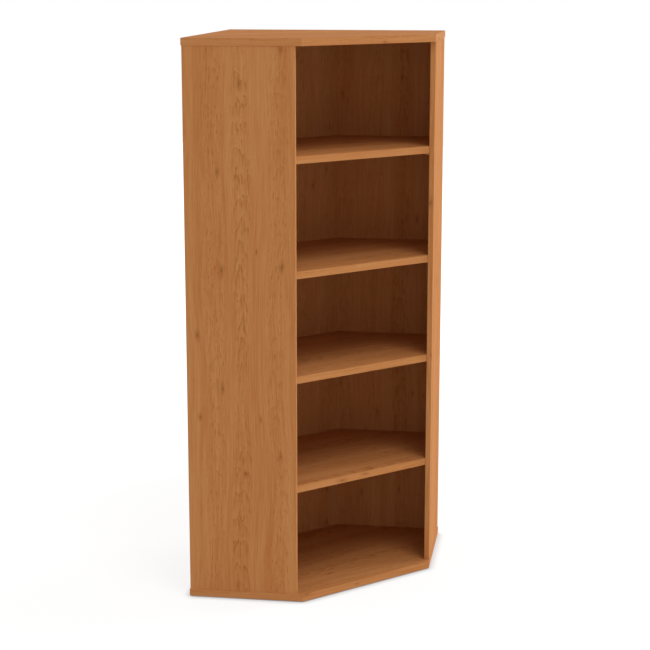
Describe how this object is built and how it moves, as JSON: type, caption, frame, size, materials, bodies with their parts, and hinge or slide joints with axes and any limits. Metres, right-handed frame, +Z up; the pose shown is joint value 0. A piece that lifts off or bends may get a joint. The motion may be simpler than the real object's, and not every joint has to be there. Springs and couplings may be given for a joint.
{
  "type": "corner shelving unit",
  "caption": "Tall five-sided corner shelving unit in wood decor, open across its diagonal front, with closed ends, a three-part back and lift-off shelves.",
  "frame": {"origin": "on the floor, under the middle of the unit's square outline", "axes": "+Z up; the two closed ends face -Y and +X, the walls are at -X and +Y, and the open front faces diagonally between +X and -Y"},
  "size_m": [0.8, 0.8, 1.923],
  "materials": {
    "decor_board": "satin melamine, alder decor",
    "decor_edging": "satin ABS edging, alder decor",
    "cap_plastic": "moulded, decor coloured",
    "cam_zinc": "die-cast zinc",
    "bolt_steel": "zinc plated",
    "beech_dowel": "fluted beech",
    "pin_steel": "bronze plated",
    "glide_plastic": "moulded",
    "nail_steel": "bright"
  },
  "bodies": {
    "carcass": {"top_panel": "decor_board", "base_panel": "decor_board", "left_upright": "decor_board", "right_upright": "decor_board", "left_back_panel": "decor_board", "right_back_panel": "decor_board", "diagonal_back_panel": "decor_board", "top_panel_edging": "decor_edging", "base_panel_edging": "decor_edging", "left_upright_edging": "decor_edging", "right_upright_edging": "decor_edging", "cam_housings": "cam_zinc", "cam_bolts": "bolt_steel", "cam_cover_caps": "cap_plastic", "wooden_dowels": "beech_dowel", "mitre_dowels": "beech_dowel", "shelf_pins": "pin_steel", "floor_glides": "glide_plastic", "glide_nails": "nail_steel"},
    "shelf_1": {"shelf_1": "decor_board", "shelf_1_edging": "decor_edging"},
    "shelf_2": {"shelf_2": "decor_board", "shelf_2_edging": "decor_edging"},
    "shelf_3": {"shelf_3": "decor_board", "shelf_3_edging": "decor_edging"},
    "shelf_4": {"shelf_4": "decor_board", "shelf_4_edging": "decor_edging"}
  },
  "joints": [
    {"name": "shelf_1_lift", "type": "slide", "parent": "carcass", "child": "shelf_1", "axis": [0, 0, 1], "range_m": [0, 0.05]},
    {"name": "shelf_2_lift", "type": "slide", "parent": "carcass", "child": "shelf_2", "axis": [0, 0, 1], "range_m": [0, 0.05]},
    {"name": "shelf_3_lift", "type": "slide", "parent": "carcass", "child": "shelf_3", "axis": [0, 0, 1], "range_m": [0, 0.05]},
    {"name": "shelf_4_lift", "type": "slide", "parent": "carcass", "child": "shelf_4", "axis": [0, 0, 1], "range_m": [0, 0.05]}
  ]
}
